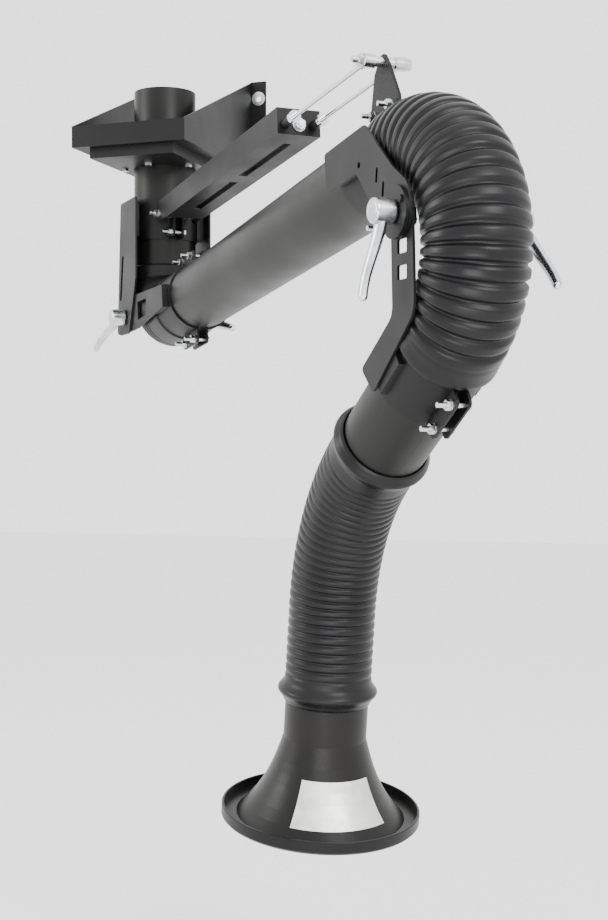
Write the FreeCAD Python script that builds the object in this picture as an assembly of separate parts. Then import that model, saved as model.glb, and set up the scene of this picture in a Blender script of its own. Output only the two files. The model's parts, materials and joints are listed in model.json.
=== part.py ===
"""Wall-mounted self-supporting fume extraction arm: bracket, ducts, linkage, spring strut and hood.

Frame: origin at the centre of the four wall holes on the wall face, +Y into the wall, +Z up.
The turning assembly is drawn in an upright plane, X forward along the arm, Y across, Z up,
with its origin on the swivel axis, and is then turned to its resting swivel angle.
"""
import FreeCAD, Part
import math
import os

os.makedirs("parts", exist_ok=True)

V = FreeCAD.Vector
X_AXIS = V(1, 0, 0)
Y_AXIS = V(0, 1, 0)
Z_AXIS = V(0, 0, 1)

# Ducts and hoses
duct_od = 101.6
duct_wall = 1.5
hose_fit = 0.3
shoulder_hose_wall = 4.4
elbow_hose_wall = 6.4
nozzle_hose_wall = 1.7
shoulder_bend_margin = 4.5
elbow_hose_bend = 116.0
nozzle_hose_bend = 270.0
shoulder_cuff = 18.0
elbow_cuff = 19.0
nozzle_cuff = 30.0

# Wall bracket
axis_reach = 151.0
bracket_half_width = 98.0
bracket_front = 143.0
bracket_sheet = 3.0
bracket_underside = -78.0
bracket_top = 80.0
lip_height = 34.0
flange_width = 26.0
wall_hole_d = 11.0
wall_hole_rise = 50.0
washer_od = 24.0
washer_sheet = 2.0
collar_top = 33.0
collar_foot = 7.0

# Slewing bearing
housing_half_width = 72.5
housing_front = 130.0
housing_back = 100.0
housing_height = 16.5
bearing_pocket = 10.0
bearing_width = 8.0
bearing_ring_height = 3.0
swivel_flange_height = 4.6
running_gap = 0.4
bore_gap = 1.0
housing_bolt_gap = 7.2
housing_bolt_d = 6.0
housing_bolts = 6

# Resting pose and pivots, in the upright plane
rest_swivel = 42.3
shoulder_x = -15.0
shoulder_z = -341.0
arm_pitch = 7.0
arm_axis_drop = 5.0
elbow_x = 990.6
elbow_z = -96.4
forearm_pitch = 34.0
forearm_offset = 106.8
nozzle_corner = 418.7
hood_pitch = 8.0

# Duct ends
stub_end = -274.0
arm_duct_start = 112.0
elbow_duct_gap = 72.6
forearm_duct_start = 66.0
nozzle_corner_gap = 130.7
hood_neck_overlap = 33.0
nozzle_hose_end = 238.0

# Tube clamps
clamp_length = 67.0
clamp_sheet = 2.5
clamp_fit = 0.1
ear_gap = 12.0
ear_sheet = 3.0
ear_reach = 20.0
clamp_bolt_rise = 12.6
clamp_bolt_inset = 12.0
clamp_bolt_d = 6.0
clamp_bolt_tail = 17.0
stub_clamp_top = -149.0
stub_bolt_inset = 29.0
shoulder_clamp_start = 132.0
elbow_clamp_gap = 160.6
forearm_clamp_start = 87.0
pad_half_height = 18.0

# Linkage plates
plate_standoff = 5.1
plate_sheet = 3.0
plate_gap = 0.3
stud_d = 10.0
stud_head_d = 18.0
stud_head_height = 3.5
stud_end_gap = 2.0
running_fit = 0.05
disc_d = 56.0
disc_sheet = 4.0
window_length = 21.0
window_height = 15.0

# Spring strut
crossbar_setback = 134.6
crossbar_z = 122.0
crossbar_d = 8.0
tray_half_width = 30.5
tray_below = 13.5
tray_above = 21.5
tray_sheet = 2.0
tray_length = 502.0
tray_web_start = 34.0
spring_spread = 20.0
spring_od = 13.0
spring_start = 58.0
spring_end = 533.0
collar_height = 8.0
collar_od = 16.0
rod_d = 6.0
rod_start = 380.0
rod_fit = 0.08
eye_od = 16.0
eye_width = 14.0
eye_neck = 16.0
eye_neck_d = 10.0
rod_end_gap = 0.5
rod_bore_margin = 60.0
adjuster_d = 8.0
tray_slot_width = 12.0
tray_slot_start = 95.0
tray_slot_end = 465.0
tray_slot_bridge = 35.0
spring_anchor_length = 14.0

# Hood
hood_wall = 2.0
hood_neck_clearance = 1.2
hood_neck_end = 283.0
hood_brim_drop = 384.0
hood_brim_d = 244.0
cone_mouth_d = 212.0
rim_height = 16.0
rim_sheet = 3.0
label_width = 104.0
label_sheet = 0.8
label_fit = 0.1
rim_foot_overlap = 10.0
label_turn = -8.0

# Clamp levers
lever_hub_d = 27.0
lever_hub_height = 25.0
lever_length = 88.0
lever_splay = 16.0
lever_bore_depth = 18.0
lever_root_half_width = 9.0
lever_root_half_thickness = 6.6
lever_tip_half_width = 6.6
lever_tip_half_thickness = 4.8
lever_edge = 3.0

# Worked out from the sizes above
duct_r = duct_od / 2
bore_r = duct_r - duct_wall
hose_bore_r = duct_r + hose_fit
arm_duct_end = elbow_x - elbow_duct_gap
elbow_clamp_start = elbow_x - elbow_clamp_gap
crossbar_x = elbow_x - crossbar_setback
hood_neck_start = nozzle_hose_end - hood_neck_overlap
forearm_duct_end = nozzle_corner - nozzle_corner_gap
clamp_inner_r = duct_r + clamp_fit
clamp_outer_r = clamp_inner_r + clamp_sheet
clamp_bolt_radius = clamp_outer_r + clamp_bolt_rise
inner_plate_face = clamp_outer_r + plate_standoff
outer_plate_face = inner_plate_face + plate_sheet + plate_gap
lever_face = outer_plate_face + plate_sheet + plate_gap
elbow_lever_face = lever_face + disc_sheet
swivel_flange_r = duct_r + bearing_width
hood_neck_od = duct_od + 2 * hood_neck_clearance
nozzle_bore_r = hood_neck_od / 2 + hose_fit
rim_d = hood_brim_d + 2 * rim_sheet
shoulder_hose_r = hose_bore_r + shoulder_hose_wall
shoulder_hose_bend = shoulder_hose_r + shoulder_bend_margin
ear_tip = clamp_outer_r + ear_reach
ear_face = ear_gap / 2 + ear_sheet


def upright(x, z, turn=0.0):
    """Placement in the upright plane at (x, z), turned nose-down by the angle."""
    return FreeCAD.Placement(V(x, 0, z), FreeCAD.Rotation(Y_AXIS, turn))


SWING = FreeCAD.Placement(V(0, -axis_reach, 0), FreeCAD.Rotation(Z_AXIS, rest_swivel - 90))
ARM_PLANE = upright(shoulder_x, shoulder_z, -arm_pitch)
ELBOW_PLANE = ARM_PLANE * upright(elbow_x, elbow_z)
elbow_point = ELBOW_PLANE.Base
FOREARM_PLANE = upright(elbow_point.x, elbow_point.z, 180 - forearm_pitch)
LINK_PLANE = upright(elbow_point.x, elbow_point.z)
hood_corner = FOREARM_PLANE.multVec(V(nozzle_corner, 0, forearm_offset))
HOOD_PLANE = upright(hood_corner.x, hood_corner.z, hood_pitch)
tray_pivot = V(clamp_bolt_radius, 0, stub_clamp_top - stub_bolt_inset)
crossbar_point = ARM_PLANE.multVec(V(crossbar_x, 0, crossbar_z))
strut = crossbar_point - tray_pivot
strut_pitch = math.degrees(math.atan2(strut.z, strut.x))
TRAY_PLANE = upright(tray_pivot.x, tray_pivot.z, -strut_pitch)


def save(name, solids, plane=None):
    """Write one sub-part, placed from its own plane into the object's frame."""
    pieces = [solid.copy() for solid in solids]
    for piece in pieces:
        if plane is not None:
            piece.Placement = SWING * plane * piece.Placement
    shape = pieces[0] if len(pieces) == 1 else Part.makeCompound(pieces)
    shape.exportStep("parts/" + name + ".step")


def corner_arc(before, corner, after, radius):
    """Start, middle and end of the arc that rounds one corner of an outline."""
    back = (before - corner).normalize()
    ahead = (after - corner).normalize()
    half = back.getAngle(ahead) / 2
    reach = radius / math.tan(half)
    inward = (back + ahead).normalize()
    middle = corner + inward * (radius / math.sin(half) - radius)
    return corner + back * reach, middle, corner + ahead * reach


def rounded_plate(corners, y_low, y_high):
    """Flat plate in the upright plane from (x, z, corner radius), between two Y faces."""
    points = [V(x, y_low, z) for x, z, radius in corners]
    arcs = []
    for i, (x, z, radius) in enumerate(corners):
        after = points[(i + 1) % len(points)]
        arcs.append(corner_arc(points[i - 1], points[i], after, radius))
    edges = []
    for i, (start, middle, end) in enumerate(arcs):
        edges.append(Part.Arc(start, middle, end).toShape())
        edges.append(Part.LineSegment(end, arcs[(i + 1) % len(arcs)][0]).toShape())
    face = Part.Face(Part.Wire(edges))
    return face.extrude(V(0, y_high - y_low, 0))


def plate_span(face, sheet, side):
    """Low and high Y of a plate whose near face is a distance out on one side."""
    ends = sorted([side * face, side * (face + sheet)])
    return ends[0], ends[1]


def cross_pin(x, z, radius, y_low, y_high):
    """Round pin across the upright plane."""
    return Part.makeCylinder(radius, y_high - y_low, V(x, y_low, z), Y_AXIS)


def hexagon(across_flats, height, base, direction):
    """Hexagonal prism standing on a point."""
    radius = across_flats / math.sqrt(3)
    points = []
    for i in range(7):
        angle = math.radians(60 * i)
        points.append(V(radius * math.cos(angle), radius * math.sin(angle), 0))
    prism = Part.Face(Part.makePolygon(points)).extrude(V(0, 0, height))
    prism.Placement = FreeCAD.Placement(base, FreeCAD.Rotation(Z_AXIS, direction))
    return prism


def cross_bolt(x, z, size, y_head, y_nut, tail):
    """Hex bolt across the plane: head on the high side, washer, nut and thread end on the low."""
    head = hexagon(1.7 * size, 0.65 * size, V(x, y_head, z), Y_AXIS)
    washer = cross_pin(x, z, size, y_nut - 0.25 * size, y_nut)
    nut = hexagon(1.7 * size, 0.9 * size, V(x, y_nut - 0.25 * size, z), Y_AXIS * -1)
    shank = cross_pin(x, z, size / 2, y_nut - tail, y_head)
    return shank.fuse([head, washer, nut]).removeSplitter()


def tube_along_x(outer_r, inner_r, start, end, z=0.0):
    """Straight tube along X."""
    outer = Part.makeCylinder(outer_r, end - start, V(start, 0, z), X_AXIS)
    return outer.cut(Part.makeCylinder(inner_r, end - start, V(start, 0, z), X_AXIS))


def tube_along_z(outer_r, inner_r, low, high):
    """Straight tube along Z."""
    outer = Part.makeCylinder(outer_r, high - low, V(0, 0, low))
    return outer.cut(Part.makeCylinder(inner_r, high - low, V(0, 0, low)))


def bent_tube(start, corner, end, bend, outer_r, inner_r):
    """Tube along two straight runs in the upright plane, joined by one tangent arc."""
    arc_start, arc_middle, arc_end = corner_arc(start, corner, end, bend)
    first = Part.LineSegment(start, arc_start).toShape()
    turn = Part.Arc(arc_start, arc_middle, arc_end).toShape()
    last = Part.LineSegment(arc_end, end).toShape()
    path = Part.Wire([first, turn, last])
    solids = []
    for radius in (outer_r, inner_r):
        ring = Part.Wire(Part.makeCircle(radius, start, corner - start))
        solids.append(path.makePipeShell([ring], True, False))
    return solids[0].cut(solids[1])


def axis_crossing(first, first_way, second, second_way):
    """Where two lines in the upright plane cross."""
    across = first_way.x * second_way.z - first_way.z * second_way.x
    gap = second - first
    travel = (gap.x * second_way.z - gap.z * second_way.x) / across
    return first + first_way * travel


def ear(side, up):
    """Flat bolting ear of a clamp half, standing beyond the shell above or below the tube."""
    low, high = plate_span(ear_gap / 2, ear_sheet, side)
    foot = up * (clamp_inner_r + clamp_sheet / 2)
    tip = up * ear_tip
    corners = [(0, foot, 0.5), (0, tip, 6), (clamp_length, tip, 6), (clamp_length, foot, 0.5)]
    return rounded_plate(corners, low, high)


def clamp_half(side, bolt_places, pad_face=0.0):
    """Half shell of a tube clamp along X from 0, with two ears and a flat pad for a plate."""
    shell = tube_along_x(clamp_outer_r, clamp_inner_r, 0, clamp_length)
    keep_low, keep_high = plate_span(ear_gap / 2, 2 * ear_tip, side)
    keep = Part.makeBox(clamp_length, keep_high - keep_low, 4 * ear_tip, V(0, keep_low, -2 * ear_tip))
    half = shell.common(keep)
    half = half.fuse([ear(side, 1), ear(side, -1)])
    if pad_face:
        low, high = plate_span(clamp_inner_r / 2, pad_face - clamp_inner_r / 2, side)
        pad = Part.makeBox(clamp_length - 14, high - low, 2 * pad_half_height, V(7, low, -pad_half_height))
        half = half.fuse(pad)
    half = half.cut(Part.makeCylinder(clamp_inner_r, clamp_length, V(0, 0, 0), X_AXIS))
    for x in bolt_places:
        for z in (clamp_bolt_radius, -clamp_bolt_radius):
            half = half.cut(cross_pin(x, z, clamp_bolt_d / 2, -ear_face, ear_face))
    return half.removeSplitter()


def clamp_bolts(bolt_places, heights):
    """Cross bolts of one clamp."""
    return [cross_bolt(x, z, clamp_bolt_d, ear_face, -ear_face, clamp_bolt_tail)
            for x in bolt_places for z in heights]


def end_bolt_places():
    """Bolt places of a clamp with a bolt near each end."""
    return (clamp_bolt_inset, clamp_length - clamp_bolt_inset)


def hinge_stud(side, end_face):
    """Pivot stud with a flat head inside the inner plate, reaching into its lever's hub."""
    head_face = inner_plate_face - plate_gap
    head_low, head_high = plate_span(head_face - stud_head_height, stud_head_height, side)
    head = cross_pin(0, 0, stud_head_d / 2, head_low, head_high)
    low, high = plate_span(head_face - 1, end_face - head_face + 1, side)
    return head.fuse(cross_pin(0, 0, stud_d / 2, low, high)).removeSplitter()


def stud_hole(face, side, fit):
    """Round cutter for a stud hole through one plate."""
    low, high = plate_span(face - 1, plate_sheet + 2, side)
    return cross_pin(0, 0, stud_d / 2 + fit, low, high)


def wall_bracket():
    """Folded wall bracket: platform, front lip, two sloping gussets and two wall flanges."""
    front = -axis_reach - bracket_front
    depth = -front
    height = bracket_top - bracket_underside
    low = bracket_underside
    width = 2 * bracket_half_width
    platform = Part.makeBox(width, depth, bracket_sheet, V(-bracket_half_width, front, low))
    lip = Part.makeBox(width, bracket_sheet, lip_height, V(-bracket_half_width, front, low))
    sheets = [lip]
    for side in (-1, 1):
        x_low, x_high = plate_span(bracket_half_width - bracket_sheet, bracket_sheet, side)
        outline = [V(x_low, front, low), V(x_low, front, low + lip_height), V(x_low, 0, bracket_top)]
        outline += [V(x_low, 0, low), V(x_low, front, low)]
        gusset = Part.Face(Part.makePolygon(outline)).extrude(V(x_high - x_low, 0, 0))
        x_low, x_high = plate_span(bracket_half_width - bracket_sheet, flange_width + bracket_sheet, side)
        flange = Part.makeBox(x_high - x_low, bracket_sheet, height, V(x_low, -bracket_sheet, low))
        sheets += [gusset, flange]
    bracket = platform.fuse(sheets).removeSplitter()
    mouth = Part.makeCylinder(bore_r, 4 * bracket_sheet, V(0, -axis_reach, low - bracket_sheet))
    bracket = bracket.cut(mouth)
    for x in (-wall_hole_x, wall_hole_x):
        for z in (-wall_hole_rise, wall_hole_rise):
            hole = Part.makeCylinder(wall_hole_d / 2, 3 * bracket_sheet, V(x, -2 * bracket_sheet, z), Y_AXIS)
            bracket = bracket.cut(hole)
    for x, y in bearing_bolt_places():
        foot = V(x, y - axis_reach, low - bracket_sheet)
        bracket = bracket.cut(Part.makeCylinder(housing_bolt_d / 2, 4 * bracket_sheet, foot))
    return bracket


def wall_washers():
    """Flat washers seated on the front of the wall flanges, around the wall holes."""
    washers = []
    for x in (-wall_hole_x, wall_hole_x):
        for z in (-wall_hole_rise, wall_hole_rise):
            base = V(x, -bracket_sheet - washer_sheet, z)
            washer = Part.makeCylinder(washer_od / 2, washer_sheet, base, Y_AXIS)
            washers.append(washer.cut(Part.makeCylinder(wall_hole_d / 2, washer_sheet, base, Y_AXIS)))
    return washers


def bearing_bolt_places():
    """Bolt places of the bearing housing about the swivel axis."""
    step = 2 * math.pi / housing_bolts
    reach = swivel_flange_r + housing_bolt_gap
    return [(reach * math.cos(step * (i + 0.5)), reach * math.sin(step * (i + 0.5)))
            for i in range(housing_bolts)]


def bearing_housing():
    """Flat box under the platform with the pocket that the swivel flange turns in."""
    low = bracket_underside - housing_height
    depth = housing_front + housing_back
    corner = V(-housing_half_width, -housing_front, low)
    box = Part.makeBox(2 * housing_half_width, depth, housing_height, corner)
    pocket_floor = V(0, 0, bracket_underside - bearing_pocket)
    box = box.cut(Part.makeCylinder(swivel_flange_r + bore_gap, bearing_pocket, pocket_floor))
    box = box.cut(Part.makeCylinder(duct_r + bore_gap, housing_height, V(0, 0, low)))
    for x, y in bearing_bolt_places():
        box = box.cut(Part.makeCylinder(housing_bolt_d / 2, housing_height, V(x, y, low)))
    box.Placement = FreeCAD.Placement(V(0, -axis_reach, 0), FreeCAD.Rotation())
    return box


def bearing_ring():
    """Plain bearing ring at the bottom of the pocket."""
    low = bracket_underside - bearing_pocket
    ring = tube_along_z(swivel_flange_r, duct_r + bore_gap, low, low + bearing_ring_height)
    ring.Placement = FreeCAD.Placement(V(0, -axis_reach, 0), FreeCAD.Rotation())
    return ring


def housing_fasteners():
    """Hex bolts up through the housing and platform, with nuts on the platform."""
    bolts = []
    low = bracket_underside - housing_height
    top = bracket_underside + bracket_sheet
    size = housing_bolt_d
    for x, y in bearing_bolt_places():
        head = hexagon(1.7 * size, 0.65 * size, V(x, y - axis_reach, low), Z_AXIS * -1)
        nut = hexagon(1.7 * size, 0.8 * size, V(x, y - axis_reach, top), Z_AXIS)
        shank = Part.makeCylinder(size / 2, top - low + 1.4 * size, V(x, y - axis_reach, low))
        bolts.append(shank.fuse([head, nut]).removeSplitter())
    return bolts


def inlet_collar():
    """Upright spigot on the platform that the building's duct slides over, with a welded foot ring."""
    top = bracket_underside + bracket_sheet
    spigot = tube_along_z(duct_r, bore_r, top, collar_top)
    foot = tube_along_z(duct_r + collar_foot, bore_r, top, top + bracket_sheet)
    collar = spigot.fuse(foot).removeSplitter()
    collar.Placement = FreeCAD.Placement(V(0, -axis_reach, 0), FreeCAD.Rotation())
    return collar


def swivel_flange():
    """Ring welded round the top of the stub duct, carried by the bearing ring."""
    low = bracket_underside - bearing_pocket + bearing_ring_height + running_gap
    return tube_along_z(swivel_flange_r, duct_r, low, low + swivel_flange_height)


def stub_duct():
    """Vertical duct that hangs from the swivel flange."""
    return tube_along_z(duct_r, bore_r, stub_end, bracket_underside - running_gap)


def shoulder_plate(side):
    """Upright plate on the stub clamp, with the slot behind the hose and the shoulder pivot hole."""
    face = outer_plate_face
    low, high = plate_span(face, plate_sheet, side)
    top = stub_clamp_top - shoulder_z
    tip = [(-44, -24, 8), (-26, top, 6), (60, top, 6), (60, 60, 12), (24, -28, 16), (-26, -28, 10)]
    plate = rounded_plate(tip, low, high)
    slot = rounded_plate([(-30, 30, 4), (-17, 104, 4), (-7, 104, 4), (-20, 30, 4)], low - 1, high + 1)
    return plate.cut(slot).cut(stud_hole(face, side, 0))


def arm_lug(side):
    """Flat arm from the shoulder clamp back to the shoulder pivot, with one window."""
    face = inner_plate_face
    low, high = plate_span(face, plate_sheet, side)
    end = shoulder_clamp_start + clamp_length - 7
    middle = -arm_axis_drop
    outline = [(-24, -24, 20), (-24, 24, 20), (60, 26, 10)]
    outline += [(end, middle + 17, 4), (end, middle - 17, 4), (60, -30, 10)]
    plate = rounded_plate(outline, low, high)
    window = rounded_plate([(62, -17, 3), (62, 13, 3), (108, 9, 3), (108, -17, 3)], low - 1, high + 1)
    return plate.cut(window).cut(stud_hole(face, side, running_fit))


def elbow_plate(side):
    """Plate from the elbow clamp to the elbow pivot, with a round end and two short slots."""
    face = outer_plate_face
    low, high = plate_span(face, plate_sheet, side)
    back = elbow_clamp_start - 10 - elbow_x
    front = elbow_clamp_start + clamp_length + 28 - elbow_x
    top = -arm_axis_drop + pad_half_height + 6 - elbow_z
    foot = -arm_axis_drop - pad_half_height - 4 - elbow_z
    outline = [(back, top, 4), (front, top, 6), (-4, 50, 40), (disc_d / 2, 24, 20), (disc_d / 2, -20, 20)]
    outline += [(4, -disc_d / 2, 18), (-26, -18, 14), (front - 26, foot, 12), (back, foot, 4)]
    plate = rounded_plate(outline, low, high)
    for x, z in ((-42, 52), (-29, 33)):
        corners = [(x - 4, z - 8, 2.4), (x, z + 8, 2.4), (x + 5, z + 8, 2.4), (x + 1, z - 8, 2.4)]
        plate = plate.cut(rounded_plate(corners, low - 1, high + 1))
    plate = plate.cut(cross_pin(front - 17, foot + 6, 3.5, low - 1, high + 1))
    return plate.cut(stud_hole(face, side, 0))


def elbow_disc(side):
    """Round pressure disc outside the elbow plate, with a small set bolt."""
    low, high = plate_span(lever_face - plate_gap, disc_sheet, side)
    disc = cross_pin(0, 0, disc_d / 2, low, high).cut(cross_pin(0, 0, stud_d / 2, low, high))
    outer = side * (lever_face - plate_gap + disc_sheet)
    bolt = hexagon(7, 2.5, V(19, outer, 9), Y_AXIS * side)
    return disc.fuse(bolt).removeSplitter()


def elbow_link(side):
    """Bent link from the elbow pivot down beside the forearm, with two square windows."""
    face = inner_plate_face
    low, high = plate_span(face, plate_sheet, side)
    outline = [(-22, 26, 20), (26, 26, 20), (32, -105, 30), (-63, -184, 5), (-92, -157, 5), (-17, -105, 20)]
    plate = rounded_plate(outline, low, high)
    for drop in (35, 62):
        x = 5 - window_length / 2
        z = -drop - window_height / 2
        corners = [(x, z, 2), (x, z + window_height, 2)]
        corners += [(x + window_length, z + window_height, 2), (x + window_length, z, 2)]
        plate = plate.cut(rounded_plate(corners, low - 1, high + 1))
    return plate.cut(stud_hole(face, side, running_fit))


def horn():
    """Upright tapered plate between the elbow clamp's ears that holds the crossbar."""
    foot = clamp_outer_r + 2 - arm_axis_drop
    back = elbow_clamp_start - 18
    front = elbow_clamp_start + clamp_length - 7
    shoulder = crossbar_z - 8
    tip = crossbar_z + 9
    outline = [(back, foot, 3), (crossbar_x - 22, shoulder, 8), (crossbar_x - 5, tip, 2)]
    outline += [(crossbar_x + 4, tip, 2), (crossbar_x + 15, shoulder, 8)]
    outline += [(front, foot + 22, 4), (front + 2, foot, 3)]
    plate = rounded_plate(outline, -2, 2)
    for inset in end_bolt_places():
        x = elbow_clamp_start + inset
        z = clamp_bolt_radius - arm_axis_drop
        boss = cross_pin(x, z, clamp_bolt_d, -ear_gap / 2, ear_gap / 2)
        plate = plate.fuse(boss).cut(cross_pin(x, z, clamp_bolt_d / 2, -ear_gap / 2, ear_gap / 2))
    return plate.cut(cross_pin(crossbar_x, crossbar_z, crossbar_d / 2, -3, 3)).removeSplitter()


def crossbar():
    """Bar through the horn with a collar and nut at one end and a rounded end at the other."""
    reach = spring_spread + eye_width / 2
    bar = cross_pin(0, 0, crossbar_d / 2, -reach - 14, reach + 4)
    nut = hexagon(13, 6, V(0, -reach, 0), Y_AXIS * -1)
    spacers = [cross_pin(0, 0, 6, -reach + eye_width, -2), cross_pin(0, 0, 6, 2, reach - eye_width)]
    cap = cross_pin(0, 0, 7, reach, reach + 6)
    return bar.fuse([nut, cap] + spacers).removeSplitter()


def rod_eyes():
    """Round eye on the crossbar for each rod, with a short neck that faces the rod."""
    eyes = []
    for side in (-1, 1):
        middle = side * spring_spread
        low = middle - eye_width / 2
        high = middle + eye_width / 2
        body = cross_pin(0, 0, eye_od / 2, low, high)
        neck = Part.makeCylinder(eye_neck_d / 2, eye_neck, V(-eye_neck, middle, 0), X_AXIS)
        eye = body.fuse(neck).cut(cross_pin(0, 0, crossbar_d / 2, low, high))
        eyes.append(eye.removeSplitter())
    return eyes


def spring_tray():
    """Folded channel open at the top, with two long slots in its web and a pivot hole in each side."""
    sides = []
    for side in (-1, 1):
        low, high = plate_span(tray_half_width - tray_sheet, tray_sheet, side)
        outline = [(-12, -12, 8), (-12, tray_above, 8), (tray_length, tray_above, 0.5)]
        outline += [(tray_length, -tray_below, 0.5), (tray_web_start, -tray_below, 4)]
        sides.append(rounded_plate(outline, low, high))
    width = 2 * tray_half_width - 2 * tray_sheet
    base = V(tray_web_start, -width / 2, -tray_below)
    web = Part.makeBox(tray_length - tray_web_start, width, tray_sheet, base)
    tray = web.fuse(sides).removeSplitter()
    middle = (tray_slot_start + tray_slot_end + tray_slot_bridge) / 2
    for start, end in ((tray_slot_start, middle - tray_slot_bridge), (middle, tray_slot_end)):
        base = V(start, -tray_slot_width / 2, -tray_below - tray_sheet)
        tray = tray.cut(Part.makeBox(end - start, tray_slot_width, 3 * tray_sheet, base))
    return tray.cut(cross_pin(0, 0, tray_pin_d / 2 + running_fit, -tray_half_width - 1, tray_half_width + 1))


def tray_end_plate():
    """End plate of the tray, with a hole for each spring and the adjusting screw."""
    width = 2 * tray_half_width
    height = tray_below + tray_above
    plate = Part.makeBox(2 * tray_sheet, width, height, V(tray_length, -width / 2, -tray_below))
    for y in (-spring_spread, spring_spread):
        plate = plate.cut(Part.makeCylinder(spring_od / 2, 2 * tray_sheet, V(tray_length, y, 0), X_AXIS))
    return plate.cut(Part.makeCylinder(adjuster_d / 2, 2 * tray_sheet, V(tray_length, 0, 0), X_AXIS))


def adjusting_screw():
    """Screw through the end plate with a broad washer and a nut on its face."""
    face = tray_length + 2 * tray_sheet
    screw = Part.makeCylinder(adjuster_d / 2, 60, V(face - 50, 0, 0), X_AXIS)
    washer = Part.makeCylinder(adjuster_d * 1.1, 1.6, V(face, 0, 0), X_AXIS)
    nut = hexagon(1.6 * adjuster_d, 6, V(face + 1.6, 0, 0), X_AXIS)
    return screw.fuse([washer, nut]).removeSplitter()


def spring_anchor():
    """Block across the tray that the rear ends of both springs push on."""
    width = 2 * (tray_half_width - tray_sheet)
    floor = -tray_below + tray_sheet
    base = V(spring_start - spring_anchor_length, -width / 2, floor)
    return Part.makeBox(spring_anchor_length, width, spring_od / 2 - floor, base)


def spring_cylinder(side):
    """Long spring cylinder, bored from its front end for the rod."""
    y = side * spring_spread
    body = Part.makeCylinder(spring_od / 2, spring_end - spring_start, V(spring_start, y, 0), X_AXIS)
    bore_start = rod_start - rod_bore_margin
    bore = Part.makeCylinder(rod_d / 2 + rod_fit, spring_end - bore_start, V(bore_start, y, 0), X_AXIS)
    return body.cut(bore)


def spring_collars():
    """Bright gland ring on the front end of each spring cylinder."""
    collars = []
    for y in (-spring_spread, spring_spread):
        ring = tube_along_x(collar_od / 2, rod_d / 2 + rod_fit, spring_end, spring_end + collar_height)
        ring.translate(V(0, y, 0))
        collars.append(ring)
    return collars


def spring_rod(side):
    """Bright rod from inside the spring cylinder to just short of its eye on the crossbar."""
    end = strut.Length - eye_neck - rod_end_gap
    return Part.makeCylinder(rod_d / 2, end - rod_start, V(rod_start, side * spring_spread, 0), X_AXIS)


def tray_pivot_bolt():
    """Upper bolt of the stub clamp's front ears, long enough to carry both sides of the tray."""
    reach = tray_half_width + 3
    size = tray_pin_d
    head = hexagon(1.7 * size, 0.65 * size, V(0, reach, 0), Y_AXIS)
    nut = hexagon(1.7 * size, 0.9 * size, V(0, -reach, 0), Y_AXIS * -1)
    shank = cross_pin(0, 0, size / 2, -reach - 13, reach)
    return shank.fuse([head, nut]).removeSplitter()


def tray_spacers():
    """Sleeves that centre the tray on its pivot bolt, inside and outside its sides."""
    sleeves = []
    inner = tray_half_width - tray_sheet - plate_gap
    for side in (-1, 1):
        low, high = plate_span(ear_face, inner - ear_face, side)
        sleeves.append(cross_pin(0, 0, tray_pin_d, low, high).cut(cross_pin(0, 0, tray_pin_d / 2, low, high)))
        low, high = plate_span(tray_half_width + plate_gap, 3 - plate_gap, side)
        sleeves.append(cross_pin(0, 0, tray_pin_d, low, high).cut(cross_pin(0, 0, tray_pin_d / 2, low, high)))
    return sleeves


def revolved(corners):
    """Solid of revolution about Z from a closed outline of (radius, height) corners."""
    points = [V(r, 0, z) for r, z in corners]
    return Part.Face(Part.makePolygon(points + points[:1])).revolve(V(0, 0, 0), Z_AXIS, 360)


def cone_radius(share):
    """Radius of the hood's flaring outer face, from its neck at 0 to its brim at 1."""
    neck = hood_neck_od / 2
    mouth = cone_mouth_d / 2
    return neck + (mouth - neck) * (0.55 * share + 0.45 * share ** 3)


def cone_points(offset, steps=8):
    """Points down the flaring face, pushed outwards by an offset."""
    points = []
    for i in range(steps + 1):
        share = i / steps
        drop = hood_neck_end + share * (hood_brim_drop - hood_neck_end)
        points.append((cone_radius(share) + offset, -drop))
    return points


def hood_shell():
    """Spun hood: neck, flaring cone and flat brim, of one sheet."""
    outer = [(hood_neck_od / 2, -hood_neck_start)] + cone_points(0)
    outer += [(hood_brim_d / 2, -hood_brim_drop)]
    under = -hood_brim_drop - hood_wall
    inner = [(hood_brim_d / 2, under), (cone_mouth_d / 2 - hood_wall, under)]
    inner += cone_points(-hood_wall)[-2::-1]
    inner += [(hood_neck_od / 2 - hood_wall, -hood_neck_start)]
    return revolved(outer + inner)


def rim_trim():
    """Upturned rim round the brim, with a rolled foot under it."""
    outer_r = rim_d / 2
    inner_r = hood_brim_d / 2
    low = -hood_brim_drop - hood_wall - rim_sheet
    top = low + rim_height
    foot_r = inner_r - rim_foot_overlap
    under = -hood_brim_drop - hood_wall
    ring = [(inner_r, under), (inner_r, top), (outer_r - 1, top), (outer_r, top - 1), (outer_r, low + 3)]
    return revolved(ring + [(outer_r - 3, low), (foot_r, low), (foot_r, under)])


def label_plate():
    """Thin blank plate that wraps the lower part of the cone."""
    face = cone_points(label_fit)[3:8]
    back = cone_points(label_fit + label_sheet)[3:8]
    outline = [V(r, 0, z) for r, z in face + back[::-1]]
    sweep = math.degrees(label_width / face[2][0])
    plate = Part.Face(Part.makePolygon(outline + outline[:1])).revolve(V(0, 0, 0), Z_AXIS, sweep)
    plate.rotate(V(0, 0, 0), Z_AXIS, label_turn - sweep / 2)
    return plate


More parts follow.
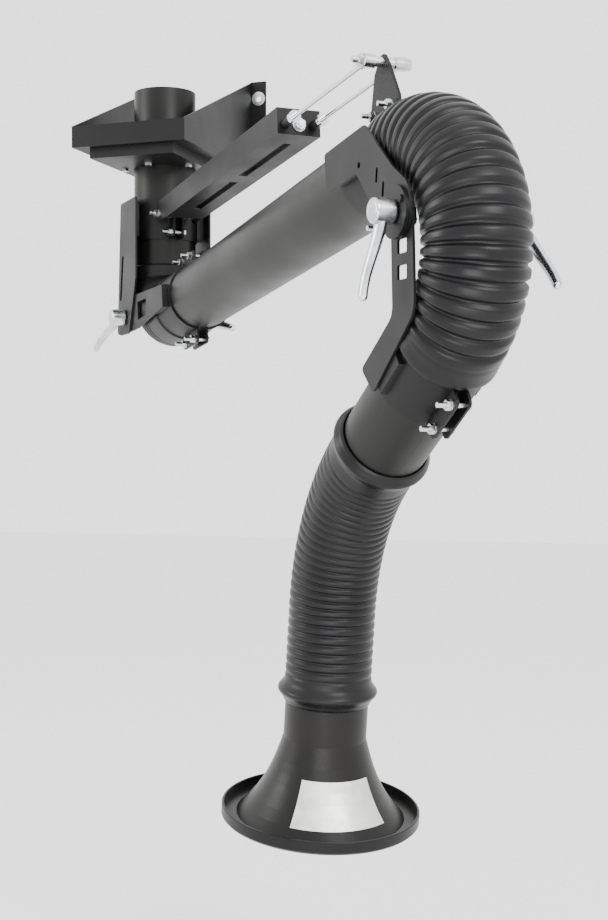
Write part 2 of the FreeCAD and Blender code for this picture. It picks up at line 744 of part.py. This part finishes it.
def lever_section(share):
    """Oval cross-section of a lever's arm at a share of its length."""
    ease = share * share * (3 - 2 * share)
    y = 0.5 * lever_hub_height + lever_splay * ease
    z = -lever_length * share
    wide = lever_root_half_width + (lever_tip_half_width - lever_root_half_width) * ease
    thick = lever_root_half_thickness + (lever_tip_half_thickness - lever_root_half_thickness) * ease
    oval = Part.Ellipse(V(0, 0, 0), wide, thick)
    wire = Part.Wire([oval.toShape()])
    wire.Placement = FreeCAD.Placement(V(0, y, z), FreeCAD.Rotation())
    return wire


def clamp_lever(side):
    """Cast clamp lever: round hub along the pivot and an arm that sweeps outwards."""
    hub = Part.makeCylinder(lever_hub_d / 2, lever_hub_height, V(0, 0, 0), Y_AXIS)
    hub = hub.makeFillet(lever_edge, [hub.Edges[0], hub.Edges[2]])
    arm = Part.makeLoft([lever_section(i / 6) for i in range(7)], True, False)
    tip = Part.makeSphere(lever_tip_half_thickness, V(0, 0.5 * lever_hub_height + lever_splay, -lever_length))
    lever = hub.fuse([arm, tip])
    lever = lever.cut(cross_pin(0, 0, stud_d / 2 + running_fit, -1, lever_bore_depth))
    lever.rotate(V(0, 0, 0), Z_AXIS, 0 if side > 0 else 180)
    return lever


def lever_plane(pivot, face, side, turn):
    """Placement of a lever on its plate's face, turned about the pivot."""
    return FreeCAD.Placement(V(pivot.x, side * face, pivot.z), FreeCAD.Rotation(Y_AXIS, turn))


def shoulder_hose():
    """Hose from the stub duct round to the arm duct."""
    start = V(0, 0, stub_end + shoulder_cuff)
    end = ARM_PLANE.multVec(V(shoulder_clamp_start - plate_gap, 0, -arm_axis_drop))
    corner = axis_crossing(start, Z_AXIS, end, arm_way)
    return bent_tube(start, corner, end, shoulder_hose_bend, shoulder_hose_r, hose_bore_r)


def elbow_hose():
    """Hose from the arm duct over and back to the forearm duct."""
    start = ARM_PLANE.multVec(V(arm_duct_end - elbow_cuff, 0, -arm_axis_drop))
    end = FOREARM_PLANE.multVec(V(forearm_clamp_start - plate_gap, 0, forearm_offset))
    corner = axis_crossing(start, arm_way, end, forearm_way)
    return bent_tube(start, corner, end, elbow_hose_bend, hose_bore_r + elbow_hose_wall, hose_bore_r)


def nozzle_hose():
    """Hose from the forearm duct to the hood's neck."""
    start = FOREARM_PLANE.multVec(V(forearm_duct_end - nozzle_cuff, 0, forearm_offset))
    end = HOOD_PLANE.multVec(V(0, 0, -nozzle_hose_end))
    outer_r = nozzle_bore_r + nozzle_hose_wall
    return bent_tube(start, hood_corner, end, nozzle_hose_bend, outer_r, nozzle_bore_r)


# Sizes that follow from the parts they meet
wall_hole_x = bracket_half_width + flange_width / 2
tray_pin_d = clamp_bolt_d
arm_way = ARM_PLANE.Rotation.multVec(X_AXIS)
forearm_way = FOREARM_PLANE.Rotation.multVec(X_AXIS)
ends = end_bolt_places()
stub_bolts = (stub_bolt_inset, 2 * stub_bolt_inset)
clamp_rows = (clamp_bolt_radius, -clamp_bolt_radius)

# Planes of the clamps, each along its own tube
STUB_CLAMP = upright(0, stub_clamp_top, 90)
SHOULDER_CLAMP = ARM_PLANE * upright(shoulder_clamp_start, -arm_axis_drop)
ELBOW_CLAMP = ARM_PLANE * upright(elbow_clamp_start, -arm_axis_drop)
FOREARM_CLAMP = FOREARM_PLANE * upright(forearm_clamp_start, forearm_offset)
FOREARM_DUCT = FOREARM_PLANE * upright(0, forearm_offset)
SHOULDER_PLANE = upright(shoulder_x, shoulder_z)
CROSSBAR_PLANE = upright(crossbar_point.x, crossbar_point.z, -strut_pitch)

# Bracket
bracket_parts = {"wall_bracket": [wall_bracket()], "wall_washers": wall_washers()}
bracket_parts["bearing_housing"] = [bearing_housing()]
bracket_parts["bearing_ring"] = [bearing_ring()]
bracket_parts["housing_bolts"] = housing_fasteners()
bracket_parts["inlet_collar"] = [inlet_collar()]
for name, solids in bracket_parts.items():
    save(name, solids)

# Everything that comes as a left and right pair; left is the low-Y side of the upright plane
for side, hand in ((-1, "left"), (1, "right")):
    save("stub_clamp_" + hand, [clamp_half(side, stub_bolts, outer_plate_face)], STUB_CLAMP)
    save("shoulder_plate_" + hand, [shoulder_plate(side)], SHOULDER_PLANE)
    save("shoulder_clamp_" + hand, [clamp_half(side, ends, inner_plate_face)], SHOULDER_CLAMP)
    save("arm_lug_" + hand, [arm_lug(side)], ARM_PLANE)
    save("elbow_clamp_" + hand, [clamp_half(side, ends, outer_plate_face)], ELBOW_CLAMP)
    save("elbow_plate_" + hand, [elbow_plate(side)], ELBOW_PLANE)
    save("elbow_disc_" + hand, [elbow_disc(side)], ELBOW_PLANE)
    save("elbow_link_" + hand, [elbow_link(side)], LINK_PLANE)
    save("forearm_clamp_" + hand, [clamp_half(side, ends, inner_plate_face)], FOREARM_CLAMP)
    save("spring_cylinder_" + hand, [spring_cylinder(side)], TRAY_PLANE)
    save("spring_rod_" + hand, [spring_rod(side)], TRAY_PLANE)

# Turning stub
save("swivel_flange", [swivel_flange()], upright(0, 0))
save("stub_duct", [stub_duct()], upright(0, 0))
stub_bolt_set = clamp_bolts(stub_bolts, (-clamp_bolt_radius,))
stub_bolt_set += clamp_bolts(stub_bolts[1:], (clamp_bolt_radius,))
save("stub_clamp_bolts", stub_bolt_set, STUB_CLAMP)
save("tray_pivot_bolt", [tray_pivot_bolt()], TRAY_PLANE)
save("tray_spacers", tray_spacers(), TRAY_PLANE)
shoulder_stud_end = lever_face + lever_bore_depth - stud_end_gap
save("shoulder_studs", [hinge_stud(side, shoulder_stud_end) for side in (-1, 1)], SHOULDER_PLANE)
save("shoulder_hose", [shoulder_hose()], upright(0, 0))

# Arm
arm_duct = tube_along_x(duct_r, bore_r, arm_duct_start, arm_duct_end, -arm_axis_drop)
save("arm_duct", [arm_duct], ARM_PLANE)
save("shoulder_clamp_bolts", clamp_bolts(ends, clamp_rows), SHOULDER_CLAMP)
save("elbow_clamp_bolts", clamp_bolts(ends, clamp_rows), ELBOW_CLAMP)
elbow_stud_end = elbow_lever_face + lever_bore_depth - stud_end_gap
save("elbow_studs", [hinge_stud(side, elbow_stud_end) for side in (-1, 1)], ELBOW_PLANE)
save("horn", [horn()], ARM_PLANE)
save("crossbar", [crossbar()], CROSSBAR_PLANE)
save("rod_eyes", rod_eyes(), CROSSBAR_PLANE)
save("elbow_hose", [elbow_hose()], upright(0, 0))

# Spring strut
save("spring_tray", [spring_tray()], TRAY_PLANE)
save("tray_end_plate", [tray_end_plate()], TRAY_PLANE)
save("adjusting_screw", [adjusting_screw()], TRAY_PLANE)
save("spring_anchor", [spring_anchor()], TRAY_PLANE)
save("spring_collars", spring_collars(), TRAY_PLANE)

# Forearm and hood
save("forearm_duct", [tube_along_x(duct_r, bore_r, forearm_duct_start, forearm_duct_end)], FOREARM_DUCT)
save("forearm_clamp_bolts", clamp_bolts(ends, clamp_rows), FOREARM_CLAMP)
save("nozzle_hose", [nozzle_hose()], upright(0, 0))
save("hood", [hood_shell()], HOOD_PLANE)
save("rim_trim", [rim_trim()], HOOD_PLANE)
save("label_plate", [label_plate()], HOOD_PLANE)

# Clamp levers: pivot, plate face, side and resting turn about the pivot
shoulder_point = V(shoulder_x, 0, shoulder_z)
save("shoulder_lever_left", [clamp_lever(-1)], lever_plane(shoulder_point, lever_face, -1, 57))
save("shoulder_lever_right", [clamp_lever(1)], lever_plane(shoulder_point, lever_face, 1, -78))
save("elbow_lever_left", [clamp_lever(-1)], lever_plane(elbow_point, elbow_lever_face, -1, 8))
save("elbow_lever_right", [clamp_lever(1)], lever_plane(elbow_point, elbow_lever_face, 1, -34))
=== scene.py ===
import bpy
import json
import math
from mathutils import Matrix, Vector


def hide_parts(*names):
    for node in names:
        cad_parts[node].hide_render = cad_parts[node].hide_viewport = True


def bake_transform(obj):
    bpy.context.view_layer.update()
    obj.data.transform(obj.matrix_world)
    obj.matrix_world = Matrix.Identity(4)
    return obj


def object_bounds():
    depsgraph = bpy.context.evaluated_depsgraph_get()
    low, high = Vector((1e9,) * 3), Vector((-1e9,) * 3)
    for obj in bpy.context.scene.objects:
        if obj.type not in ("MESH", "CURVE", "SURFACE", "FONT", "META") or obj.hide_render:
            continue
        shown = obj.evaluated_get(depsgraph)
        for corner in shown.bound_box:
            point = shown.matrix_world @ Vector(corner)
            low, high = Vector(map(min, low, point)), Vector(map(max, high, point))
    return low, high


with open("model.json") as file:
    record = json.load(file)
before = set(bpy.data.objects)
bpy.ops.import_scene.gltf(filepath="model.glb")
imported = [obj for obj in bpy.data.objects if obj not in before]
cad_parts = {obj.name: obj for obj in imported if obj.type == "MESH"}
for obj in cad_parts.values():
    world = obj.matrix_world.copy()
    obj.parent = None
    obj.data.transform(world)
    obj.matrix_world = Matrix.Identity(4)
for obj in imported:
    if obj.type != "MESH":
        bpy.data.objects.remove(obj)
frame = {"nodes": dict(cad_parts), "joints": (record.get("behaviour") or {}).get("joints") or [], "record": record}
cad_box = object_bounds()

# Sizes of the ducts, hoses and hood, metres and degrees
duct_radius = 0.0508
arm_pitch = 7
forearm_pitch = 34
hood_pitch = 8
arm_axis_drop = 0.005
forearm_offset = 0.1068
nozzle_corner = 0.4187
sleeve_radius = duct_radius + 0.0003
shoulder_hose_radius = 0.0555
elbow_hose_radius = 0.0575
nozzle_hose_radius = 0.054
hood_neck_radius = 0.052
hose_step = 0.0012
hose_sides = 72
hose_wall = 0.0007
rib_fade = 0.012
lip_rounding = 0.003

joints = {joint["name"]: joint for joint in frame["joints"]}
swivel_point = Vector(joints["swivel_turn"]["pos_m"])
shoulder_point = Vector(joints["shoulder_tilt"]["pos_m"])
elbow_point = Vector(joints["elbow_tilt"]["pos_m"])
upward = Vector((0, 0, 1))
across = -Vector(joints["shoulder_tilt"]["axis"])
ahead = across.cross(upward)


def heading(degrees):
    """Direction in the upright plane of the arm, from straight ahead, turned upwards."""
    turn = math.radians(degrees)
    return ahead * math.cos(turn) + upward * math.sin(turn)


arm_way = heading(arm_pitch)
arm_up = heading(arm_pitch + 90)
forearm_way = heading(180 + forearm_pitch)
forearm_out = heading(forearm_pitch - 90)
hood_way = heading(-90 - hood_pitch)


def arm_point(along):
    """Point on the arm duct's axis, measured from the shoulder pivot."""
    return shoulder_point + arm_way * along - arm_up * arm_axis_drop


def forearm_point(along):
    """Point on the forearm duct's axis, measured from the elbow pivot."""
    return elbow_point + forearm_way * along + forearm_out * forearm_offset


hood_corner = forearm_point(nozzle_corner)


# ---------------------------------------------------------------- materials


def new_material(name, colour, metallic, roughness):
    """Principled material with its even values on the shader's own sockets."""
    material = bpy.data.materials.new(name)
    material.use_nodes = True
    shader = material.node_tree.nodes["Principled BSDF"]
    shader.inputs["Base Color"].default_value = (*colour, 1)
    shader.inputs["Metallic"].default_value = metallic
    shader.inputs["Roughness"].default_value = roughness
    shader.inputs["Specular IOR Level"].default_value = 0.5 if metallic else 0.22
    return material, material.node_tree.nodes, material.node_tree.links, shader


def noise(nodes, links, scale, detail, stretch=(1, 1, 1)):
    """Noise over the piece's own coordinates."""
    place = nodes.new("ShaderNodeTexCoord")
    mapping = nodes.new("ShaderNodeMapping")
    mapping.inputs["Scale"].default_value = stretch
    texture = nodes.new("ShaderNodeTexNoise")
    texture.inputs["Scale"].default_value = scale
    texture.inputs["Detail"].default_value = detail
    links.new(place.outputs["Object"], mapping.inputs["Vector"])
    links.new(mapping.outputs["Vector"], texture.inputs["Vector"])
    return texture.outputs["Fac"]


def spread(nodes, links, value, low, high):
    """Noise value carried to a range of roughness."""
    ranged = nodes.new("ShaderNodeMapRange")
    ranged.inputs["From Min"].default_value = 0.3
    ranged.inputs["From Max"].default_value = 0.7
    ranged.inputs["To Min"].default_value = low
    ranged.inputs["To Max"].default_value = high
    links.new(value, ranged.inputs["Value"])
    return ranged.outputs["Result"]


def tint(nodes, links, value, dark, light):
    """Noise value carried to a colour between two shades."""
    ramp = nodes.new("ShaderNodeValToRGB")
    ramp.color_ramp.elements[0].position = 0.35
    ramp.color_ramp.elements[1].position = 0.7
    ramp.color_ramp.elements[0].color = (*dark, 1)
    ramp.color_ramp.elements[1].color = (*light, 1)
    links.new(value, ramp.inputs["Fac"])
    return ramp.outputs["Color"]


def relief(nodes, links, shader, value, strength, distance):
    """Bump on the shader's normal."""
    bump = nodes.new("ShaderNodeBump")
    bump.inputs["Strength"].default_value = strength
    bump.inputs["Distance"].default_value = distance
    links.new(value, bump.inputs["Height"])
    links.new(bump.outputs["Normal"], shader.inputs["Normal"])


def powder_coat(name, dark, light, grain, rough_low, rough_high):
    """Baked powder coat: fine orange-peel skin, slow changes of shade and of gloss."""
    material, nodes, links, shader = new_material(name, dark, 0, rough_low)
    broad = noise(nodes, links, 9, 3)
    fine = noise(nodes, links, grain, 2)
    links.new(tint(nodes, links, broad, dark, light), shader.inputs["Base Color"])
    links.new(spread(nodes, links, broad, rough_low, rough_high), shader.inputs["Roughness"])
    relief(nodes, links, shader, fine, 0.35, 0.0004)
    return material


def hose_rubber():
    """Black moulded rubber: faint bloom, soft sheen and a fine skin."""
    material, nodes, links, shader = new_material("hose_rubber", (0.012, 0.012, 0.014), 0, 0.36)
    bloom = noise(nodes, links, 14, 5)
    skin = noise(nodes, links, 900, 2)
    shade = tint(nodes, links, bloom, (0.0024, 0.0024, 0.0030), (0.0056, 0.0056, 0.0062))
    links.new(shade, shader.inputs["Base Color"])
    links.new(spread(nodes, links, bloom, 0.3, 0.44), shader.inputs["Roughness"])
    relief(nodes, links, shader, skin, 0.25, 0.0003)
    return material


def bare_metal(name, dark, light, roughness, grain, strength, stretch=(1, 1, 1)):
    """Bright metal with slight stains and a fine surface grain."""
    material, nodes, links, shader = new_material(name, light, 1, roughness)
    stain = noise(nodes, links, 60, 4)
    fine = noise(nodes, links, grain, 3, stretch)
    links.new(tint(nodes, links, stain, dark, light), shader.inputs["Base Color"])
    links.new(spread(nodes, links, stain, roughness * 0.8, roughness * 1.3), shader.inputs["Roughness"])
    relief(nodes, links, shader, fine, strength, 0.0002)
    return material


bracket_paint = powder_coat("bracket_paint", (0.0022, 0.0022, 0.0024), (0.0045, 0.0045, 0.0047),
                            700, 0.40, 0.55)
duct_paint = powder_coat("duct_paint", (0.0034, 0.0034, 0.0024), (0.0062, 0.0061, 0.0044),
                         500, 0.34, 0.46)
hood_paint = powder_coat("hood_paint", (0.0030, 0.0029, 0.0022), (0.0056, 0.0052, 0.0040),
                         500, 0.3, 0.42)
rim_plastic = powder_coat("rim_plastic", (0.0020, 0.0020, 0.0022), (0.0036, 0.0036, 0.0038),
                          400, 0.34, 0.46)
hose_black = hose_rubber()
cast_silver = bare_metal("cast_silver", (0.50, 0.52, 0.54), (0.74, 0.76, 0.78), 0.24, 350, 0.25)
zinc_plate = bare_metal("zinc_plate", (0.48, 0.50, 0.52), (0.70, 0.72, 0.73), 0.28, 600, 0.2)
rod_chrome = bare_metal("rod_chrome", (0.66, 0.68, 0.70), (0.80, 0.82, 0.84), 0.12, 900, 0.08)
label_silver = bare_metal("label_silver", (0.60, 0.60, 0.58), (0.70, 0.70, 0.67), 0.42, 500, 0.2, (1, 1, 30))

slot_materials = {
    "black_paint": bracket_paint, "duct_paint": duct_paint, "hood_paint": hood_paint, "hose": hose_black,
    "black_plastic": rim_plastic, "cast_silver": cast_silver, "zinc": zinc_plate, "bright_steel": rod_chrome,
    "label": label_silver,
}


def dress_cad_nodes():
    """Give every carried-over node the finish of its own slot."""
    slots = {part["node"]: part["material_slot"] for part in frame["record"]["subparts"]}
    for node, piece in frame["nodes"].items():
        for place in piece.material_slots:
            place.material = slot_materials[slots[node]]


# ---------------------------------------------------------------- geometry node helpers


def new_tree(name, inputs):
    """Geometry node group with named inputs; returns the group, its input node and its output node."""
    tree = bpy.data.node_groups.new(name, "GeometryNodeTree")
    tree.interface.new_socket("Geometry", in_out="INPUT", socket_type="NodeSocketGeometry")
    for label, kind in inputs:
        tree.interface.new_socket(label, in_out="INPUT", socket_type=kind)
    tree.interface.new_socket("Geometry", in_out="OUTPUT", socket_type="NodeSocketGeometry")
    return tree, tree.nodes.new("NodeGroupInput"), tree.nodes.new("NodeGroupOutput")


def add(tree, kind, sockets=None, **settings):
    """Add a node, set its options and fill its input sockets by name or number with values or links."""
    node = tree.nodes.new(kind)
    for key, value in settings.items():
        setattr(node, key, value)
    for key, value in (sockets or {}).items():
        if isinstance(value, bpy.types.NodeSocket):
            tree.links.new(value, node.inputs[key])
        else:
            node.inputs[key].default_value = value
    return node


def maths(tree, operation, first, second=0.0):
    """One math node; returns its result."""
    return add(tree, "ShaderNodeMath", {0: first, 1: second}, operation=operation).outputs[0]


def grown(name, tree, source, values):
    """Plain mesh piece from a node group run on a source mesh, with inputs given by name."""
    holder = bpy.data.objects.new(name + "_source", source)
    bpy.context.scene.collection.objects.link(holder)
    modifier = holder.modifiers.new(name, "NODES")
    modifier.node_group = tree
    for item in tree.interface.items_tree:
        if item.in_out == "INPUT" and item.name in values:
            modifier[item.identifier] = values[item.name]
    bpy.context.view_layer.update()
    evaluated = holder.evaluated_get(bpy.context.evaluated_depsgraph_get())
    mesh = bpy.data.meshes.new_from_object(evaluated)
    bpy.data.objects.remove(holder)
    mesh.materials.clear()
    mesh.materials.append(values["Material"])
    mesh.polygons.foreach_set("material_index", [0] * len(mesh.polygons))
    piece = bpy.data.objects.new(name, mesh)
    bpy.context.scene.collection.objects.link(piece)
    return piece


def path_mesh(points):
    """Mesh of one open chain of edges."""
    mesh = bpy.data.meshes.new("path")
    mesh.from_pydata(points, [(i, i + 1) for i in range(len(points) - 1)], [])
    return mesh


# ---------------------------------------------------------------- ribbed hoses


def eased(tree, value, low, high, first=0.0):
    """Value carried smoothly from a first share up to 1 between a low and a high value."""
    sockets = {"Value": value, "From Min": low, "From Max": high, "To Min": first, "To Max": 1.0}
    return add(tree, "ShaderNodeMapRange", sockets, interpolation_type="SMOOTHSTEP").outputs[0]


def hose_tree():
    """Hose round a path: ribs of even pitch between two plain cuffs, a bead near each end, and a bore."""
    names = ("Length", "Pitch", "Radius", "Groove", "Sharpness", "First share", "Full place",
             "First cuff", "Last cuff", "Bore", "Wall", "First bead", "First bead place",
             "Last bead", "Last bead place", "Bead width")
    inputs = [(label, "NodeSocketFloat") for label in names]
    inputs += [("Samples", "NodeSocketInt"), ("Sides", "NodeSocketInt")]
    inputs += [("Material", "NodeSocketMaterial")]
    tree, given, made = new_tree("hose", inputs)
    value = given.outputs
    line = add(tree, "GeometryNodeMeshToCurve", {"Mesh": value["Geometry"]})
    evened = {"Curve": line.outputs[0], "Count": value["Samples"]}
    smooth = add(tree, "GeometryNodeResampleCurve", evened)
    place = add(tree, "GeometryNodeSplineParameter").outputs["Length"]
    turns = maths(tree, "MULTIPLY", maths(tree, "DIVIDE", place, value["Pitch"]), math.pi)
    wave = maths(tree, "ABSOLUTE", maths(tree, "COSINE", turns))
    groove = maths(tree, "POWER", wave, value["Sharpness"])
    from_end = maths(tree, "SUBTRACT", value["Length"], place)
    share = eased(tree, place, 0.0, value["Full place"], value["First share"])
    ribs_start = eased(tree, place, value["First cuff"], maths(tree, "ADD", value["First cuff"], rib_fade))
    ribs_end = eased(tree, from_end, value["Last cuff"], maths(tree, "ADD", value["Last cuff"], rib_fade))
    depth = maths(tree, "MULTIPLY", maths(tree, "MULTIPLY", groove, value["Groove"]), share)
    cut = maths(tree, "MULTIPLY", depth, maths(tree, "MULTIPLY", ribs_start, ribs_end))
    radius = maths(tree, "SUBTRACT", value["Radius"], cut)
    for along, end in ((place, "First"), (from_end, "Last")):
        away = maths(tree, "SUBTRACT", along, value[end + " bead place"])
        off = maths(tree, "ABSOLUTE", maths(tree, "DIVIDE", away, value["Bead width"]))
        bead = maths(tree, "EXPONENT", maths(tree, "MULTIPLY", maths(tree, "POWER", off, 2), -1))
        radius = maths(tree, "ADD", radius, maths(tree, "MULTIPLY", bead, value[end + " bead"]))
    inner = maths(tree, "MINIMUM", value["Bore"], maths(tree, "SUBTRACT", radius, value["Wall"]))
    nearest_end = maths(tree, "MINIMUM", place, from_end)
    lip = eased(tree, nearest_end, 0.0, lip_rounding)
    swell = maths(tree, "MULTIPLY", maths(tree, "SUBTRACT", radius, value["Bore"]), lip)
    radius = maths(tree, "ADD", value["Bore"], swell)
    circle = {"Resolution": value["Sides"], "Radius": 1.0}
    ring = add(tree, "GeometryNodeCurvePrimitiveCircle", circle).outputs[0]
    walls = add(tree, "GeometryNodeJoinGeometry")
    for size in (radius, inner):
        skin = add(tree, "GeometryNodeCurveToMesh",
                   {"Curve": smooth.outputs[0], "Profile Curve": ring, "Scale": size}).outputs[0]
        if size is not radius:
            skin = add(tree, "GeometryNodeFlipFaces", {"Mesh": skin}).outputs[0]
        tree.links.new(skin, walls.inputs[0])
    joined = {"Geometry": walls.outputs[0], "Distance": 0.00002}
    closed = add(tree, "GeometryNodeMergeByDistance", joined)
    shaded = add(tree, "GeometryNodeSetShadeSmooth", {"Geometry": closed.outputs[0]})
    real = add(tree, "GeometryNodeRealizeInstances", {"Geometry": shaded.outputs[0]})
    coloured = {"Geometry": real.outputs[0], "Material": value["Material"]}
    finished = add(tree, "GeometryNodeSetMaterial", coloured)
    tree.links.new(finished.outputs[0], made.inputs[0])
    return tree


def bent_path(start, corner, end, bend):
    """Points along two straight runs joined by one tangent arc, and the length of the path."""
    back = (start - corner).normalized()
    on = (end - corner).normalized()
    half = back.angle(on) / 2
    reach = bend / math.tan(half)
    centre = corner + (back + on).normalized() * (bend / math.sin(half))
    arc_start = corner + back * reach - centre
    turn_axis = arc_start.cross(corner + on * reach - centre).normalized()
    turn = math.pi - 2 * half
    steps = 96
    arc = [centre + Matrix.Rotation(turn * i / steps, 3, turn_axis) @ arc_start for i in range(steps + 1)]
    points = [start] + arc + [end]
    length = sum((b - a).length for a, b in zip(points, points[1:]))
    return points, length


def crossing(first, first_way, second, second_way):
    """Where two lines of the upright plane cross."""
    gap = second - first
    normal = second_way.cross(across)
    return first + first_way * (gap.dot(normal) / first_way.dot(normal))


hose_nodes = hose_tree()


def ribbed_hose(name, start, corner, end, bend, bore, sizes):
    """One ribbed hose on its path; sizes hold the rib and bead values."""
    points, length = bent_path(start, corner, end, bend)
    values = {"Length": length, "Samples": int(length / hose_step), "Sides": hose_sides, "Bore": bore,
              "Wall": hose_wall, "Sharpness": 7.0, "First share": 1.0, "Full place": 0.01,
              "Bead width": 0.008, "Material": hose_black, **sizes}
    hose = grown(name, hose_nodes, path_mesh(points), values)
    return hose


def shoulder_hose():
    """Close-ribbed hose from the stub duct to the arm duct."""
    stub_end = Vector((swivel_point.x, swivel_point.y, -0.256))
    end = arm_point(0.1317)
    corner = crossing(stub_end, -upward, end, arm_way)
    sizes = {"Pitch": 0.0075, "Radius": shoulder_hose_radius, "Groove": 0.0026,
             "First cuff": 0.018, "Last cuff": 0.045,
             "First bead": 0.0, "First bead place": 0.01, "Last bead": 0.0, "Last bead place": 0.01}
    hose = ribbed_hose("shoulder_hose_ribbed", stub_end, corner, end, 0.060, sleeve_radius, sizes)
    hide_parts("shoulder_hose")
    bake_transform(hose)


def elbow_hose():
    """Wide-ribbed hose that turns over the elbow."""
    start = arm_point(0.899)
    end = forearm_point(0.0867)
    corner = crossing(start, arm_way, end, forearm_way)
    sizes = {"Pitch": 0.0141, "Radius": elbow_hose_radius, "Groove": 0.0048,
             "First cuff": 0.006, "Last cuff": 0.022,
             "First bead": 0.0, "First bead place": 0.01, "Last bead": 0.0015, "Last bead place": 0.006}
    hose = ribbed_hose("elbow_hose_ribbed", start, corner, end, 0.116, sleeve_radius, sizes)
    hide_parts("elbow_hose")
    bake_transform(hose)


def nozzle_hose():
    """Fine-ribbed hose that carries the hood, with a bead at each cuff."""
    start = forearm_point(0.258)
    end = hood_corner + hood_way * 0.238
    sizes = {"Pitch": 0.0116, "Radius": nozzle_hose_radius, "Groove": 0.0030,
             "First cuff": 0.034, "Last cuff": 0.030,
             "First bead": 0.0055, "First bead place": 0.013, "Last bead": 0.0082, "Last bead place": 0.0155,
             "First share": 0.25, "Full place": 0.19}
    hose = ribbed_hose("nozzle_hose_ribbed", start, hood_corner, end, 0.270, hood_neck_radius + 0.0003, sizes)
    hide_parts("nozzle_hose")
    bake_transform(hose)


# ---------------------------------------------------------------- camera, light and floor


def camera():
    """Level camera in front and below the bracket, looking up past the arm."""
    lens = bpy.data.cameras.new("camera")
    lens.lens = 56.7
    lens.shift_y = -0.0109
    view = bpy.data.objects.new("camera", lens)
    view.location = (1.008, -2.362, -0.561)
    view.rotation_euler = (math.radians(90), 0, math.radians(19.03))
    bpy.context.scene.collection.objects.link(view)
    bpy.context.scene.camera = view


def soft_light(name, place, aim, size, power):
    """Square soft box aimed at a point."""
    data = bpy.data.lights.new(name, "AREA")
    data.size = size
    data.energy = power
    light = bpy.data.objects.new(name, data)
    light.location = place
    light.rotation_euler = (Vector(aim) - Vector(place)).to_track_quat("-Z", "Y").to_euler()
    bpy.context.scene.collection.objects.link(light)


def studio():
    """Pale floor, pale surroundings and three soft boxes."""
    world = bpy.data.worlds.new("studio")
    world.use_nodes = True
    world.node_tree.nodes["Background"].inputs["Color"].default_value = (1, 1, 1, 1)
    world.node_tree.nodes["Background"].inputs["Strength"].default_value = 2.2
    bpy.context.scene.world = world
    soft_light("key", (2.6, -2.6, 1.2), (0.4, -0.5, -0.4), 1.4, 90)
    soft_light("side", (-2.4, -1.6, 0.4), (0.3, -0.5, -0.3), 1.2, 40)
    soft_light("low", (0.9, -2.4, -1.1), (0.4, -0.5, -0.5), 1.0, 25)
    plane = bpy.data.meshes.new("floor")
    reach = 9
    low = cad_box[0][2] - 0.25
    edge = [(-reach, -reach, low), (reach, -reach, low), (reach, reach, low), (-reach, reach, low)]
    plane.from_pydata(edge, [], [(0, 1, 2, 3)])
    floor = bpy.data.objects.new("floor", plane)
    paper, nodes, links, shader = new_material("floor_paper", (0.9, 0.9, 0.9), 0, 0.9)
    floor.data.materials.append(paper)
    bpy.context.scene.collection.objects.link(floor)


camera()
studio()
dress_cad_nodes()
shoulder_hose()
elbow_hose()
nozzle_hose()
